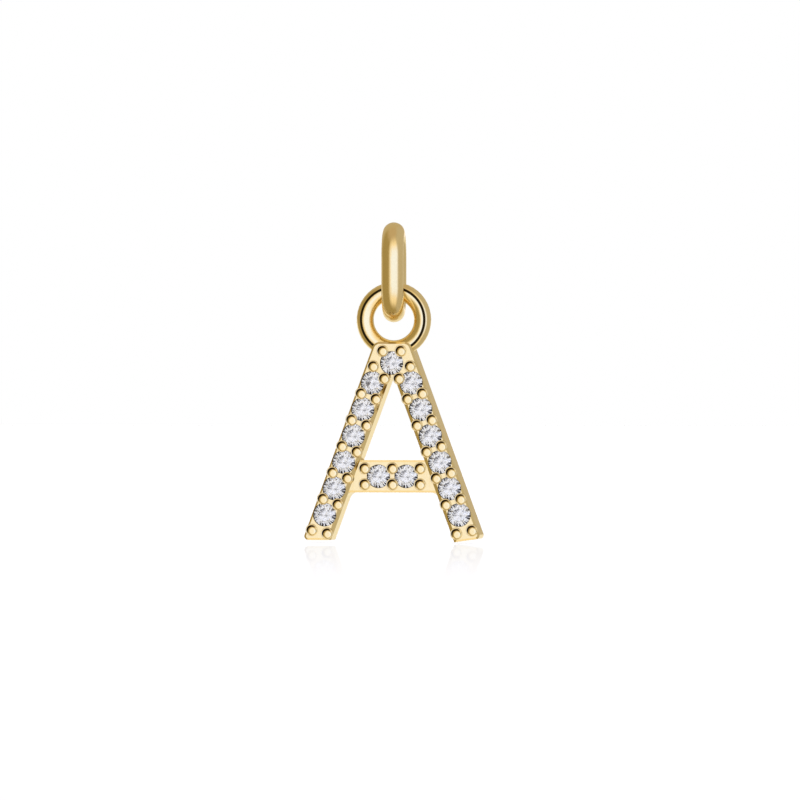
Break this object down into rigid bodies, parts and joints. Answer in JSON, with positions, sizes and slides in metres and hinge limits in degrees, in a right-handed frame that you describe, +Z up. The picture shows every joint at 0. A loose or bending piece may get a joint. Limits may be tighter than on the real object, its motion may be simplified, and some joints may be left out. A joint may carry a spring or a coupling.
{
  "type": "initial pendant",
  "caption": "Polished gold letter A charm, its face set with small round clear stones under metal grains, hung by a soldered ring from an oval bail that slides on a chain.",
  "frame": {"origin": "inside top of the bail, where a chain bears", "axes": "+Z up as it hangs, +Y from the stone-set face to the back, +X to the right as the letter is read"},
  "size_m": [0.0088, 0.0034, 0.016],
  "materials": {
    "gold": "polished yellow gold plate",
    "stone": "clear brilliant-cut stone"
  },
  "bodies": {
    "bail": {"bail": "gold"},
    "pendant": {"letter": "gold", "stone_top": "stone", "stone_left_1": "stone", "stone_left_2": "stone", "stone_left_3": "stone", "stone_left_4": "stone", "stone_left_5": "stone", "stone_left_6": "stone", "stone_right_1": "stone", "stone_right_2": "stone", "stone_right_3": "stone", "stone_right_4": "stone", "stone_right_5": "stone", "stone_right_6": "stone", "stone_bar_1": "stone", "stone_bar_2": "stone"}
  },
  "joints": [
    {"name": "pendant_swing", "type": "hinge", "parent": "bail", "child": "pendant", "pos_m": [0, 0, -0.00232], "axis": [1, 0, 0], "range_deg": [-110, 110]}
  ]
}
